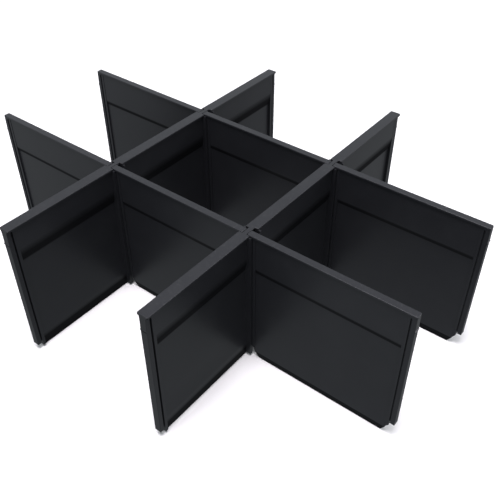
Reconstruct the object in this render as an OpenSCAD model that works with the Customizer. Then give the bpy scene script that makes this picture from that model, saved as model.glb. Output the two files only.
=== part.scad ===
// Interlocking divider insert: two long panels, six short panels, nine compartments.
// Millimetres, +Z up. Origin: centre of the grid, on the floor the panels stand on.

/* [Overall] */
// spacing of the two long panels, centre to centre, along X
pitch_x = 171; // [120:1:240]
// spacing of the two rows of short panels, centre to centre, along Y
pitch_y = 138; // [90:1:200]
// overall length of a long panel, along Y
long_len = 400; // [320:1:520]
// height of every panel
height = 155; // [90:1:220]

/* [Long panels] */
// thickness of the lower web of a long panel
long_web_t = 2.4; // [2:0.1:3.2]
// width of the flat cap along the top of a long panel
long_cap_w = 11.6; // [10.6:0.1:14]
// width across the end head of a long panel
long_head_w = 7.2; // [4.6:0.1:9]
// height of the underside of the end head above the floor
long_head_z = 7; // [4:0.5:20]
// length of the bevel at the lower corners of a long panel
long_corner_x = 2; // [1:0.5:8]
// height of the bevel at the lower corners of a long panel
long_corner_z = 3; // [1:0.5:8]
// width across the upright border ribs of a long panel
long_rib_w = 8.2; // [7.4:0.1:9]
// how far the raised band of a long panel stands out from the web
long_band_proud = 2.8; // [0.6:0.1:3]
// height of the sloped lower edge of the long band
long_band_slope = 11; // [1:0.5:14]
// height of the tapered foot of a long panel, from the floor to its thickest line
long_foot_h = 16; // [3:0.5:20]
// how far the thickest line of the long foot stands out from the web
long_foot_proud = 2.4; // [0.3:0.1:2.6]

/* [Short panels] */
// thickness of the lower web of a short panel
short_web_t = 2.2; // [1.8:0.1:2.6]
// width of the flat cap along the top of a short panel
short_cap_w = 7; // [6:0.1:8]
// width across the end head of a short panel
short_head_w = 6.4; // [4.6:0.1:6.6]
// height of the underside of the end head above the floor
short_head_z = 18; // [10:0.5:30]
// length of the bevel at the lower corners of a short panel
short_corner_x = 7.5; // [4:0.5:14]
// height of the bevel at the lower corners of a short panel
short_corner_z = 13; // [4:0.5:18]
// width across the upright border ribs of a short panel
short_rib_w = 5.4; // [5.2:0.1:6]
// how far the raised band of a short panel stands out from the web
short_band_proud = 1.2; // [0.4:0.1:1.4]
// height of the sloped lower edge of the short band
short_band_slope = 4; // [0.4:0.2:8]
// height of the tapered foot of a short panel, from the floor to its thickest line
short_foot_h = 8; // [3:0.5:12]
// how far the thickest line of the short foot stands out from the web
short_foot_proud = 1.4; // [0.3:0.1:1.5]

/* [Shared panel details] */
// thickness of the cap
cap_t = 2; // [1.5:0.1:3]
// corner radius of the cap, seen from above
cap_r = 1.2; // [0.4:0.1:2]
// depth of an end head along the panel
head_d = 4.2; // [2.8:0.1:5.2]
// solid height left between the top of the groove and the cap
groove_top = 2; // [1:0.5:5]
// width of the upright border rib next to the neck
border_w = 3; // [1.6:0.1:5]
// height of the raised band under the cap, its sloped edge included
band_h = 43; // [20:1:60]
// height over which the web thickens again above the foot
foot_blend = 26; // [6:1:40]
// distance of the catch on the head below the top of the panel
catch_drop = 16; // [10:1:30]
// height of the catch on the head
catch_h = 3; // [2:0.5:6]
// how far the catch stands out from the head
catch_proud = 0.5; // [0.3:0.1:0.8]

/* [Channels on the long panels] */
// width of cap left standing beside a channel, from the panel's middle
cap_neck = 2.2; // [2:0.1:2.8]
// thickness of the two channel walls
chan_wall = 1.8; // [1.4:0.1:2.6]
// thickness of the lips that keep the head in
lip_t = 0.8; // [0.6:0.1:0.9]
// room in the right-hand channels behind the short cap
open_right = 5; // [1:0.1:7]
// room in the left-hand channels behind the short cap
open_left = 2; // [1:0.1:7]
// height at which a channel starts above the floor
chan_z = 3; // [1:0.5:8]

/* [Fit] */
// gap around a sliding head, neck or cap
fit_gap = 0.35; // [0.3:0.05:0.5]
// extra length of the groove behind a head, beyond the lip and its two gaps
groove_play = 0.1; // [0:0.1:2]

/* [Hidden] */
$fn = 32;
eps = 0.05;
tip_x = cap_neck + fit_gap;
short_len = pitch_x - 2*tip_x;
lip_in = tip_x + head_d + fit_gap;
chan_out = lip_in + lip_t;
near_in = short_head_w/2 + fit_gap;
slot_near = short_web_t/2 + fit_gap;
slot_far = short_web_t/2 + 2*fit_gap;
notch_near = short_cap_w/2 + fit_gap;
groove_len = lip_t + 2*fit_gap + groove_play;
body_x0 = head_d + groove_len;
cap_z = height - cap_t;
notch_z = cap_z - fit_gap - 0.1;
lip_z = cap_z - groove_top - fit_gap;
band_in = border_w - eps;
wide = 2*long_cap_w;
black = [0.06, 0.06, 0.07];

// flat cap with small rounded corners, from x = 0 to len, centred on y = 0
module cap(len, w) {
    translate([0, 0, cap_z])
        linear_extrude(height = cap_t) {
            translate([cap_r, -w/2]) square([len - 2*cap_r, w]);
            translate([0, cap_r - w/2]) square([len, w - 2*cap_r]);
            for (x = [cap_r, len - cap_r])
                for (y = [cap_r - w/2, w/2 - cap_r])
                    translate([x, y]) circle(r = cap_r);
        }
}

// upright plate along x, t thick, with its two lower corners cut off by cx and cz
module plate(x0, x1, z1, t, cx, cz) {
    translate([0, t/2, 0])
        rotate([90, 0, 0])
            linear_extrude(height = t)
                polygon([
                    [x0, cz],
                    [x0 + cx, 0],
                    [x1 - cx, 0],
                    [x1, cz],
                    [x1, z1],
                    [x0, z1]
                ]);
}

// box centred on y = 0
module bar(x0, x1, w, z0, z1) {
    translate([x0, -w/2, z0]) cube([x1 - x0, w, z1 - z0]);
}

// strip along x that is w0, w1 and w2 wide at the heights z0, z1 and z2
module strip(x0, x1, z0, z1, z2, w0, w1, w2) {
    translate([x0, 0, 0])
        rotate([90, 0, 90])
            linear_extrude(height = x1 - x0)
                polygon([
                    [-w0/2, z0],
                    [w0/2, z0],
                    [w1/2, z1],
                    [w2/2, z2],
                    [-w2/2, z2],
                    [-w1/2, z1]
                ]);
}

// end head with groove, border rib and catch; its tip is at x = 0, the panel runs to +x
module head_end(head_w, rib_w, web_t, head_z, corner_z) {
    bar(0, head_d, head_w, head_z, cap_z + eps);
    bar(head_d - eps, body_x0 + eps, web_t, head_z, cap_z + eps);
    bar(head_d - eps, body_x0, head_w, cap_z - groove_top, cap_z + eps);
    bar(body_x0, body_x0 + border_w, rib_w, corner_z, cap_z + eps);
    catch_tab(head_w);
}

// small wedge on the outer face of the head
module catch_tab(head_w) {
    z1 = height - catch_drop;
    translate([0, head_w/2, 0])
        rotate([90, 0, 0])
            linear_extrude(height = head_w)
                polygon([
                    [eps, z1 - catch_h],
                    [-catch_proud, z1 - catch_h*0.5],
                    [-catch_proud, z1 - catch_h*0.25],
                    [eps, z1]
                ]);
}

// web with its foot and band, from x0 to x1, cut to the outline of the plate
module web(x0, x1, web_t, band_w, band_slope, foot_w, foot_h, cx, cz) {
    band_z = height - band_h;
    intersection() {
        union() {
            bar(x0, x1, web_t, 0, cap_z + eps);
            strip(x0 + band_in, x1 - band_in, 0, foot_h, foot_h + foot_blend,
                web_t, foot_w, web_t);
            strip(x0 + band_in, x1 - band_in, band_z, band_z + band_slope, cap_z + eps,
                web_t, band_w, band_w);
        }
        plate(x0, x1, cap_z + 1, wide, cx, cz);
    }
}

// one short panel: tips at x = 0 and x = short_len
module short_panel() {
    band_w = short_web_t + 2*short_band_proud;
    foot_w = short_web_t + 2*short_foot_proud;
    web(body_x0, short_len - body_x0, short_web_t, band_w, short_band_slope, foot_w, short_foot_h,
        short_corner_x, short_corner_z);
    cap(short_len, short_cap_w);
    head_end(short_head_w, short_rib_w, short_web_t, short_head_z, short_corner_z);
    translate([short_len, 0, 0])
        mirror([1, 0, 0])
            head_end(short_head_w, short_rib_w, short_web_t, short_head_z, short_corner_z);
}

// channel walls and lips on the +x face of a long panel; far is the room on the +y side
module channel(far) {
    h = cap_z - chan_z;
    lip_h = lip_z - chan_z;
    translate([0, -near_in - chan_wall, chan_z])
        cube([chan_out, chan_wall, h]);
    translate([0, far, chan_z])
        cube([chan_out, chan_wall, h]);
    translate([lip_in, -near_in - eps, chan_z])
        cube([lip_t, near_in - slot_near + eps, lip_h]);
    translate([lip_in, slot_far, chan_z])
        cube([lip_t, far - slot_far + eps, lip_h]);
}

// open top of a channel, cut through the long cap
module notch(far) {
    translate([cap_neck, -notch_near, notch_z])
        cube([chan_out, notch_near + far, cap_t + 2]);
}

// room taken out of the band inside a channel, so the head has a flat wall behind it
module channel_room(far) {
    translate([long_web_t/2, -near_in, -1])
        cube([lip_in - long_web_t/2, near_in + far, cap_z + 1]);
}

// one long panel, standing along y, middle at the origin
module long_panel() {
    far_r = short_cap_w/2 + open_right;
    far_l = short_cap_w/2 + open_left;
    difference() {
        union() {
            difference() {
                translate([0, -long_len/2, 0])
                    rotate([0, 0, 90])
                        long_blank();
                for (y = [-pitch_y/2, pitch_y/2]) {
                    translate([0, y, 0])
                        channel_room(far_r);
                    translate([0, y, 0])
                        mirror([1, 0, 0])
                            channel_room(far_l);
                }
            }
            for (y = [-pitch_y/2, pitch_y/2]) {
                translate([0, y, 0])
                    channel(far_r);
                translate([0, y, 0])
                    mirror([1, 0, 0])
                        channel(far_l);
            }
        }
        for (y = [-pitch_y/2, pitch_y/2]) {
            translate([0, y, 0])
                notch(far_r);
            translate([0, y, 0])
                mirror([1, 0, 0])
                    notch(far_l);
        }
    }
}

// long panel without its channels, from x = 0 to long_len
module long_blank() {
    band_w = long_web_t + 2*long_band_proud;
    foot_w = long_web_t + 2*long_foot_proud;
    web(body_x0, long_len - body_x0, long_web_t, band_w, long_band_slope, foot_w, long_foot_h,
        long_corner_x, long_corner_z);
    cap(long_len, long_cap_w);
    head_end(long_head_w, long_rib_w, long_web_t, long_head_z, long_corner_z);
    translate([long_len, 0, 0])
        mirror([1, 0, 0])
            head_end(long_head_w, long_rib_w, long_web_t, long_head_z, long_corner_z);
}

// short panel in column col (-1 left, 0 middle, 1 right) and row (-1 near, 1 far)
module short_at(col, row) {
    translate([col*pitch_x - short_len/2, row*pitch_y/2, 0])
        short_panel();
}

module long_left() {
    color(black)
        translate([-pitch_x/2, 0, 0])
            long_panel();
}

module long_right() {
    color(black)
        translate([pitch_x/2, 0, 0])
            long_panel();
}

module short_near_left() {
    color(black)
        short_at(-1, -1);
}

module short_near_mid() {
    color(black)
        short_at(0, -1);
}

module short_near_right() {
    color(black)
        short_at(1, -1);
}

module short_far_left() {
    color(black)
        short_at(-1, 1);
}

module short_far_mid() {
    color(black)
        short_at(0, 1);
}

module short_far_right() {
    color(black)
        short_at(1, 1);
}

long_left();
long_right();
short_near_left();
short_near_mid();
short_near_right();
short_far_left();
short_far_mid();
short_far_right();
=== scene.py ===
# %% [markdown]
# # A slot-together divider in Blender
# The object is a set of eight flat plastic panels that stand on edge in a box.
# Two long panels run front to back. Six short panels slide down into upright
# channels on their faces and make nine compartments. All of it is moulded in
# one black plastic, so the picture depends on crisp, softly rounded edges and
# on how a satin black surface takes the light.

# %% Load the engineering model
import math

import bpy
from mathutils import Matrix, Vector


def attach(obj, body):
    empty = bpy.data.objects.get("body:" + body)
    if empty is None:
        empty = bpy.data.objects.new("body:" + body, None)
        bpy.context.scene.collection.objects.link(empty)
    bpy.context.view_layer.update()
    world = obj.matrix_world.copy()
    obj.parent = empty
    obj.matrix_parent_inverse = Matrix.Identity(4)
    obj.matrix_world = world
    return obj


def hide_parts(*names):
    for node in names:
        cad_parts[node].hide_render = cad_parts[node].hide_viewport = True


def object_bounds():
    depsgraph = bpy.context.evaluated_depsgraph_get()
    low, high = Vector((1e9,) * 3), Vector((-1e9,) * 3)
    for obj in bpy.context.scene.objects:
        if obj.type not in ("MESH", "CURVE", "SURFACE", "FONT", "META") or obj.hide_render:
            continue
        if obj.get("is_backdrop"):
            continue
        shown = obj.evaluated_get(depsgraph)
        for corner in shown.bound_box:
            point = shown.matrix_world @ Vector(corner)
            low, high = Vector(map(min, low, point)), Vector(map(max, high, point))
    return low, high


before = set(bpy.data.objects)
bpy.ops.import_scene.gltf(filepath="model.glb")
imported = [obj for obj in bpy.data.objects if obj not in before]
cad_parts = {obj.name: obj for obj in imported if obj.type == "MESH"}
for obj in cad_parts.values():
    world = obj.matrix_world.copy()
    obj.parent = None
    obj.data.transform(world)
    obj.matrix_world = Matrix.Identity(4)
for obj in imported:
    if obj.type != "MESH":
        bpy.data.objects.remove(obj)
CAD_LOW, CAD_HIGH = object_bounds()
MM = 0.001
print("overall size in mm:", [round(v / MM, 1) for v in CAD_HIGH - CAD_LOW])

# %% [markdown]
# ## The camera
# The view is from above the front right corner, high enough to look into the
# compartments. A normal lens lets the upright edges lean together only a little.
# The place and the lens are plain numbers in the object's own metres, and the
# camera's turn is worked out from the direction it faces.

# %% Place the camera
CAMERA_AT = Vector((0.3798, -0.4428, 0.5347))
LOOK_BACK = Vector((0.4695, -0.6031, 0.6449))
LENS_MM = 49.8
SENSOR_MM = 36

bpy.ops.object.camera_add(location=CAMERA_AT)
camera = bpy.context.active_object
camera.name = "camera"
camera.rotation_mode = "QUATERNION"
camera.rotation_quaternion = (-LOOK_BACK).to_track_quat("-Z", "Y")
camera.data.lens = LENS_MM
camera.data.sensor_width = SENSOR_MM
camera.data.clip_start = 0.01
bpy.context.scene.camera = camera
print("camera at", [round(v, 3) for v in camera.location], "lens", LENS_MM, "mm")

# %% [markdown]
# ## The floor and the light
# Black plastic shows almost nothing of its own colour. What the eye reads is
# the reflection of what is around it, so the set is built from large soft
# shapes. The object stands on a pale floor, but its faces mirror a plain room
# whose brightness only changes with height, slightly tilted and tinted. One
# wide panel of light hangs overhead, a little in front. A smaller, weak one
# stands low at the back on the right, for the right-hand ends.

# %% Lay the floor
FLOOR_SIZE = 14
FLOOR_DROP = -0.2 * MM


def only(obj):
    """Selects obj alone and makes it the active object."""
    bpy.ops.object.select_all(action="DESELECT")
    obj.select_set(True)
    bpy.context.view_layer.objects.active = obj


bpy.ops.object.select_all(action="DESELECT")
bpy.ops.mesh.primitive_plane_add(size=FLOOR_SIZE, location=(0, 0, FLOOR_DROP))
floor = bpy.context.active_object
floor.name = "floor"
paper = bpy.data.materials.new("pale_floor")
paper.use_nodes = True
paper_shader = paper.node_tree.nodes["Principled BSDF"]
paper_shader.inputs["Base Color"].default_value = (0.93, 0.93, 0.93, 1)
paper_shader.inputs["Roughness"].default_value = 0.9
paper_shader.inputs["Specular IOR Level"].default_value = 0.1
floor.data.materials.append(paper)
floor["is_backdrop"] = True
print("floor", FLOOR_SIZE, "m wide")

# %% Colour the room
# What the plastic mirrors, as (place, level) pairs from straight down at 0,
# through the horizon at 0.5, to straight up at 1. Up is the direction ROOM_UP,
# which leans a little, so faces that point different ways get different tones.
# The floor is hidden from diffuse and glossy rays. Otherwise the plastic would
# mirror the bright floor in place of the room's dim lower half, and the webs
# would turn pale.
ROOM_STOPS = [(0.0, 0.25), (0.3, 0.32), (0.5, 0.85), (0.7, 0.6), (1.0, 0.5)]
ROOM_TINT = (0.95, 1.0, 1.03)
ROOM_UP = (-0.05, -0.10, 0.99)

world = bpy.data.worlds.new("pale_room")
bpy.context.scene.world = world
world.use_nodes = True
room = world.node_tree


def set_stops(ramp, stops, tint=(1.0, 1.0, 1.0)):
    """Sets the stops of a colour ramp from (place, level) pairs."""
    while len(ramp.elements) < len(stops):
        ramp.elements.new(0.5)
    for element, (place, level) in zip(ramp.elements, stops):
        element.position = place
        element.color = tuple(level * part for part in tint) + (1,)


facing = room.nodes.new("ShaderNodeTexCoord")
level_of = room.nodes.new("ShaderNodeVectorMath")
level_of.operation = "DOT_PRODUCT"
level_of.inputs[1].default_value = ROOM_UP
rise = room.nodes.new("ShaderNodeMapRange")
rise.inputs["From Min"].default_value = -1
rise.inputs["From Max"].default_value = 1
shade = room.nodes.new("ShaderNodeValToRGB")
set_stops(shade.color_ramp, ROOM_STOPS, ROOM_TINT)
room.links.new(facing.outputs["Generated"], level_of.inputs[0])
room.links.new(level_of.outputs["Value"], rise.inputs["Value"])
room.links.new(rise.outputs["Result"], shade.inputs["Fac"])
room.links.new(shade.outputs["Color"], room.nodes["Background"].inputs["Color"])
room.nodes["Background"].inputs["Strength"].default_value = 1.0
floor.visible_diffuse = False
floor.visible_glossy = False
print("room levels from below to above:", [level for _, level in ROOM_STOPS])

# %% Hang the lights
LAMP_TINT = (1.0, 0.95, 1.0)


def softbox(name, at, aim, size, watts):
    """A square panel of light at a place, turned to face a point."""
    bpy.ops.object.light_add(type="AREA", location=at)
    lamp = bpy.context.active_object
    lamp.name = name
    lamp.data.shape = "SQUARE"
    lamp.data.size = size
    lamp.data.energy = watts
    lamp.data.color = LAMP_TINT
    lamp.rotation_mode = "QUATERNION"
    lamp.rotation_quaternion = (Vector(aim) - Vector(at)).to_track_quat("-Z", "Y")
    print(name, size, "m wide,", watts, "W")


softbox("overhead_panel", at=(0.15, -0.35, 1.9), aim=(0, 0, 0.1), size=0.9, watts=45)
softbox("right_panel", at=(1.5, 0.9, 0.35), aim=(0.2, 0, 0.08), size=0.7, watts=7)
bpy.context.scene.view_settings.view_transform = "Standard"
bpy.context.scene.view_settings.look = "None"

# %% [markdown]
# ## Writing materials as sums
# A surface pattern is arithmetic on noise: add, multiply, fade. Wiring each
# Math node by hand hides that, so one small class wraps a socket and turns
# Python's own plus and times into nodes. A second class holds the node tree
# of one material and makes every other kind of node.

# %% Socket arithmetic
class Wire:
    """A node socket that can be used in Python arithmetic."""

    def __init__(self, graph, socket):
        self.graph = graph
        self.socket = socket

    def _math(self, operation, first, second):
        return self.graph.node("ShaderNodeMath", {"operation": operation}, [first, second])

    def __add__(self, other):
        return self._math("ADD", self, other)

    __radd__ = __add__

    def __mul__(self, other):
        return self._math("MULTIPLY", self, other)

    __rmul__ = __mul__


class Graph:
    """The node tree of one new material."""

    def __init__(self, name):
        self.material = bpy.data.materials.new(name)
        self.material.use_nodes = True
        self.tree = self.material.node_tree
        self.shader = self.tree.nodes["Principled BSDF"]

    def node(self, kind, settings=None, inputs=(), output=0):
        """Makes a node: its settings first, then the values or wires of its sockets."""
        made = self.tree.nodes.new(kind)
        for key, value in (settings or {}).items():
            if key == "stops":
                set_stops(made.color_ramp, value)
            else:
                setattr(made, key, value)
        pairs = inputs.items() if isinstance(inputs, dict) else enumerate(inputs)
        for key, value in pairs:
            if isinstance(value, Wire):
                self.tree.links.new(value.socket, made.inputs[key])
            else:
                made.inputs[key].default_value = value
        return Wire(self, made.outputs[output])

    def feed(self, socket, value):
        """Gives the shader's socket a wire or a plain value."""
        if isinstance(value, Wire):
            self.tree.links.new(value.socket, self.shader.inputs[socket])
        else:
            self.shader.inputs[socket].default_value = value

    def plastic(self):
        """The shader's own output, for mixing with another shader."""
        return Wire(self, self.shader.outputs[0])

    def surface(self, shader):
        """Makes the given shader the surface of the material."""
        out = self.tree.nodes["Material Output"]
        self.tree.links.new(shader.socket, out.inputs["Surface"])

    def noise(self, where, scale, detail, roughness):
        """Noise from 0 to 1 whose patches are about 1/scale metres wide."""
        return self.node(
            "ShaderNodeTexNoise",
            {"noise_dimensions": "3D"},
            {"Vector": where, "Scale": scale, "Detail": detail, "Roughness": roughness},
        )

    def ramp(self, value, stops):
        """Bends a value through a list of (place, level) stops."""
        return self.node("ShaderNodeValToRGB", {"stops": stops}, [value])

    def fade(self, value, start, end, low, high):
        """Goes from low to high as value goes from start to end, and no further."""
        return self.node(
            "ShaderNodeMapRange",
            {"clamp": True},
            {"Value": value, "From Min": start, "From Max": end, "To Min": low, "To Max": high},
        )

    def bump(self, height, strength, distance, over=None):
        """Tilts the surface by a height pattern, on top of another bump if given."""
        inputs = {"Strength": strength, "Distance": distance, "Height": height}
        if over is not None:
            inputs["Normal"] = over
        return self.node("ShaderNodeBump", inputs=inputs)

    def mix(self, share, first, second):
        """A colour share of the way from first to second."""
        # the colour sockets share their names with others, so they go by number
        return self.node(
            "ShaderNodeMix",
            {"data_type": "RGBA"},
            {0: share, 6: first, 7: second},
            output=2,
        )


print("operators ready:", [name for name in vars(Wire) if name.endswith(("add__", "mul__"))])

# %% [markdown]
# ## The moulded black plastic
# Box dividers are injection moulded in black polypropylene. The mould is spark
# eroded, which leaves a very fine even grain and a satin sheen. Over that lie
# three slower things: the plate is never quite flat, the sheen drifts where
# the melt cooled at different speeds, and the handled top edges carry fine
# pale scuffs. Each is one term below. The pattern is laid out in the object's
# own metres and turned for the second kind of panel, so no two panels repeat
# each other's marks.
#
# A face that looks downwards gets little light, so there the plastic is mixed
# with a flat dark diffuse: painted shade, which draws the dark strips below the
# bands and at the feet. The share of the painted shade grows with the tilt of the face.

# %% The numbers of the plastic
TOP = CAD_HIGH.z
BODY = (0.0145, 0.0150, 0.0176)
HAZY = (0.0178, 0.0184, 0.0210)
WORN = (0.045, 0.046, 0.049, 1)
# SHADOW is the colour of the painted shade on faces that look downwards
SHADOW = (0.008, 0.008, 0.009, 1)
SHEEN_TINT = (0.95, 0.965, 1.0, 1)

GRAIN = {"scale": 1900, "detail": 3, "roughness": 0.65}
DRIFT = {"scale": 14, "detail": 3, "roughness": 0.5}
WARP = {"scale": 9, "detail": 1, "roughness": 0.4}
SMEAR = {"scale": 42, "detail": 4, "roughness": 0.6}
SMEAR_STOPS = [(0.45, 0.0), (0.75, 1.0)]
SCRATCH = {"scale": 330, "detail": 5, "roughness": 0.7}
SCRATCH_STOPS = [(0.56, 0.0), (0.72, 1.0)]

# how much of its own colour a pattern brings in, and how much it roughens
SMEAR_COLOUR, SCUFF_COLOUR = 0.6, 0.45
SATIN, DRIFT_ROUGH, SMEAR_ROUGH, SCUFF_ROUGH = 0.29, 0.08, 0.04, 0.12
REFLECTION = 0.42
GRAIN_BUMP = {"strength": 0.35, "distance": 0.03 * MM}
WARP_BUMP = {"strength": 0.30, "distance": 1.2 * MM}

# the heights between which wear sets in, and the tilts between which shadow does
WEAR_FROM, WEAR_FULL = TOP - 1.6 * MM, TOP - 0.3 * MM
UNDER_FROM, UNDER_FULL = -0.02, -0.15
print("grain of about", round(1000 / GRAIN["scale"], 2), "mm, roughness from", SATIN)


# %% The plastic recipe
def black_plastic(name, turn, tone, shade):
    """Satin black plastic.

    The turn shifts the pattern, the tone scales the colour, and the shade is
    how much of a face that looks downwards is covered by painted shade.
    """
    g = Graph(name)
    raw = g.node("ShaderNodeTexCoord", output="Object")
    place = g.node(
        "ShaderNodeMapping",
        inputs={"Vector": raw, "Rotation": (0, 0, turn), "Location": (turn, 0, turn)},
    )
    height = g.node("ShaderNodeSeparateXYZ", inputs=[raw], output="Z")

    grain = g.noise(place, **GRAIN)
    drift = g.noise(place, **DRIFT)
    warp = g.noise(place, **WARP)
    smear = g.ramp(g.noise(place, **SMEAR), SMEAR_STOPS)
    scratch = g.ramp(g.noise(place, **SCRATCH), SCRATCH_STOPS)
    scuff = g.fade(height, WEAR_FROM, WEAR_FULL, 0.0, 1.0) * scratch

    body = tuple(part * tone for part in BODY) + (1,)
    hazy = tuple(part * tone for part in HAZY) + (1,)
    colour = g.mix(smear * SMEAR_COLOUR, body, hazy)
    g.feed("Base Color", g.mix(scuff * SCUFF_COLOUR, colour, WORN))
    rough = SATIN + drift * DRIFT_ROUGH + smear * SMEAR_ROUGH + scuff * SCUFF_ROUGH
    g.feed("Roughness", rough)
    g.feed("Specular IOR Level", REFLECTION)
    g.feed("Specular Tint", SHEEN_TINT)
    fine = g.bump(grain, **GRAIN_BUMP)
    g.feed("Normal", g.bump(warp, over=fine, **WARP_BUMP))

    # painted shade: faces that look downwards are mixed towards a flat dark diffuse
    facing = g.node("ShaderNodeNewGeometry", output="Normal")
    tilt = g.node("ShaderNodeSeparateXYZ", inputs=[facing], output="Z")
    painted_shade_share = g.fade(tilt, UNDER_FROM, UNDER_FULL, 0.0, shade)
    painted_shade = g.node("ShaderNodeBsdfDiffuse", inputs={"Color": SHADOW})
    g.surface(g.node("ShaderNodeMixShader", inputs=[painted_shade_share, g.plastic(), painted_shade]))
    print(name, "has", len(g.tree.nodes), "nodes")
    return g.material


LONG_BLACK = black_plastic("long_panel_plastic", turn=0.35, tone=1.0, shade=0.89)
SHORT_BLACK = black_plastic("short_panel_plastic", turn=1.25, tone=1.06, shade=0.80)

# %% [markdown]
# ## From drawing to moulding
# The engineering solids have dead sharp edges, and a sharp edge never catches
# light. The shape itself is right, so each panel is copied, its loose triangles
# are merged into flat faces, and its edges are rounded in edit mode in five
# passes: the top of the cap by almost half a millimetre, as hands meet it; the
# outer corners of the heads; every other sharp edge by a fifth of a millimetre;
# the soft brow where the band turns inwards; and the thick line above the foot.
# Only the line where the band ends on the web stays crisp. Weighted normals
# then keep the flat faces evenly shaded right up to the rounded edges.

# %% Copy a panel and clean it
SAME_PLACE = 0.002 * MM
SAME_PLANE = math.radians(0.4)


def panel_copy(node, name):
    """A free copy of a CAD node with merged corners and flat faces."""
    only(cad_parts[node])
    bpy.ops.object.duplicate()
    piece = bpy.context.active_object
    for key in list(piece.keys()):
        del piece[key]
    piece.parent = None
    piece.matrix_world = Matrix.Identity(4)
    piece.name = name
    piece.data.name = name
    piece.data.materials.clear()
    only(piece)
    bpy.ops.mesh.customdata_custom_splitnormals_clear()
    bpy.ops.object.mode_set(mode="EDIT")
    bpy.ops.mesh.select_all(action="SELECT")
    bpy.ops.mesh.remove_doubles(threshold=SAME_PLACE)
    bpy.ops.mesh.dissolve_limited(angle_limit=SAME_PLANE)
    bpy.ops.mesh.select_all(action="DESELECT")
    bpy.ops.object.mode_set(mode="OBJECT")
    return piece


# %% The measures of the rounding
CAP_ROUND = 0.45 * MM
EDGE_ROUND = 0.18 * MM
HEAD_ROUND = 1.4 * MM
LONG_BROW_ROUND = 7.0 * MM
SHORT_BROW_ROUND = 2.0 * MM
FOOT_ROUND = 5.0 * MM
SHARP = math.radians(28)
GENTLE = math.radians(3)
SMOOTH = math.radians(35)

# how the lines to be rounded are told apart
HAIR = 0.01 * MM
HEAD_SLACK = 0.05 * MM
CATCH = 0.5 * MM
HEAD_EDGE = 8 * MM
LONG_LINE = 15 * MM
BELOW_CAP = TOP - 1.0 * MM
BAND_LOW = TOP - 43 * MM
BAND_SLACK = 0.3 * MM
BROW_FROM, BROW_TO = BAND_LOW + 1 * MM, BAND_LOW + 14 * MM
FOOT_FROM, FOOT_TO = 3.5 * MM, 22 * MM
print("the bands reach", round((TOP - BAND_LOW) / MM, 1), "mm down from the top")


# %% Pick edges and round them
def select_edges(piece, wanted, least_turn):
    """Selects the edges that turn by least_turn or more and pass wanted(corner, corner)."""
    mesh = piece.data
    for part in (mesh.vertices, mesh.edges, mesh.polygons):
        part.foreach_set("select", [False] * len(part))
    sides = {}
    for face in mesh.polygons:
        for key in face.edge_keys:
            sides.setdefault(key, []).append(face.normal)
    count = 0
    for edge in mesh.edges:
        normals = sides.get(tuple(sorted(edge.vertices)), [])
        if len(normals) != 2 or normals[0].angle(normals[1], 0) < least_turn:
            continue
        a, b = (mesh.vertices[i].co for i in edge.vertices)
        if wanted(a, b):
            edge.select = True
            count += 1
    return count


def round_edges(piece, wanted, radius, steps, least_turn=SHARP):
    """Bevels the chosen edges of a piece in edit mode."""
    only(piece)
    bpy.ops.object.mode_set(mode="EDIT")
    bpy.ops.mesh.select_mode(type="EDGE")
    bpy.ops.object.mode_set(mode="OBJECT")
    count = select_edges(piece, wanted, least_turn)
    bpy.ops.object.mode_set(mode="EDIT")
    bpy.ops.mesh.bevel(
        offset=radius, segments=steps, profile=0.5, affect="EDGES", clamp_overlap=True
    )
    bpy.ops.mesh.select_all(action="DESELECT")
    bpy.ops.object.mode_set(mode="OBJECT")
    return count


# %% Tell the edges apart
def on_top(a, b):
    """The outline of the cap's upper face."""
    return min(a.z, b.z) > TOP - HAIR


def elsewhere(a, b):
    """Any edge that is clear of the cap's upper face."""
    return max(a.z, b.z) < BELOW_CAP


def head_corners(piece):
    """A test for the upright outer corners of a piece's end heads.

    The catches reach a little further out than the heads do.
    """
    size = piece.dimensions
    axis = 0 if size.x > size.y else 1
    ends = [v.co[axis] for v in piece.data.vertices]
    tips = (min(ends) + CATCH, max(ends) - CATCH)

    def wanted(a, b):
        upright = (a - b).xy.length < HAIR and abs(a.z - b.z) > HEAD_EDGE
        return upright and min(abs(a[axis] - tip) for tip in tips) < HEAD_SLACK

    return wanted


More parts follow.
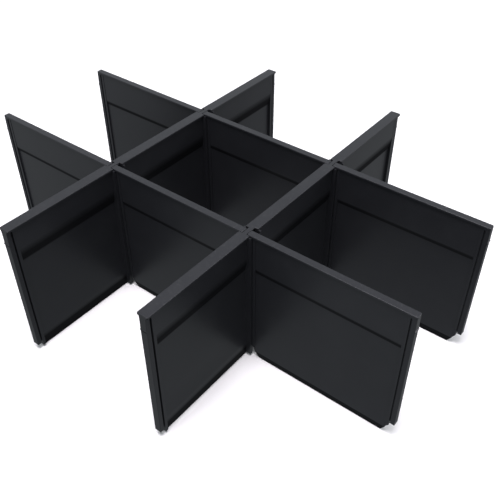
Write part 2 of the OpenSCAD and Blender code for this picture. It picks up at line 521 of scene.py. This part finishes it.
def along(a, b):
    """A long edge that runs level along the panel."""
    return abs(a.z - b.z) < HAIR and (a - b).length > LONG_LINE


def band_brow(a, b):
    """The line where the band turns inwards."""
    return along(a, b) and BROW_FROM < a.z < BROW_TO


def band_end(a, b):
    """The line where the band's sloped edge meets the web."""
    return along(a, b) and abs(a.z - BAND_LOW) < BAND_SLACK


def foot_line(a, b):
    """The line where the web is thickest, above the tapered foot."""
    return along(a, b) and FOOT_FROM < a.z < FOOT_TO


# %% [markdown]
# ## Eight finished panels
# Each finished copy takes the place of its engineering solid in the picture
# and rides on the same body, so it lifts out of its channels with that body.

# %% Finish every panel
LONG = ["long_left", "long_right"]
SHORT = sorted(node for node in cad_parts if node.startswith("short_"))


def finish_panel(node, material, brow_round):
    """Copies one panel, rounds it, gives it its plastic and sets it on its body."""
    piece = panel_copy(node, node + "_panel")
    tops = round_edges(piece, on_top, CAP_ROUND, 3)
    heads = round_edges(piece, head_corners(piece), HEAD_ROUND, 4)
    rest = round_edges(piece, elsewhere, EDGE_ROUND, 2)
    brows = round_edges(piece, band_brow, brow_round, 5, GENTLE)
    feet = round_edges(piece, foot_line, FOOT_ROUND, 4, GENTLE)
    piece.data.materials.append(material)
    only(piece)
    bpy.ops.object.shade_smooth_by_angle(angle=SMOOTH)
    crisp = select_edges(piece, band_end, GENTLE)
    for edge in piece.data.edges:
        if edge.select:
            edge.use_edge_sharp = True
    even = piece.modifiers.new("even_normals", "WEIGHTED_NORMAL")
    even.mode = "FACE_AREA"
    even.keep_sharp = True
    bpy.ops.object.modifier_apply(modifier=even.name)
    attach(piece, node)
    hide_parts(node)
    print(
        node, "edges rounded:", tops, heads, rest, brows, feet,
        "crisp:", crisp, "faces:", len(piece.data.polygons),
    )


for node in LONG:
    finish_panel(node, LONG_BLACK, LONG_BROW_ROUND)
for node in SHORT:
    finish_panel(node, SHORT_BLACK, SHORT_BROW_ROUND)

# %% Print how far the size moved
low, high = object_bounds()
moved = [abs(v) for v in (*(low - CAD_LOW), *(high - CAD_HIGH))]
print("size kept to within", round(max(moved) / MM, 3), "mm")
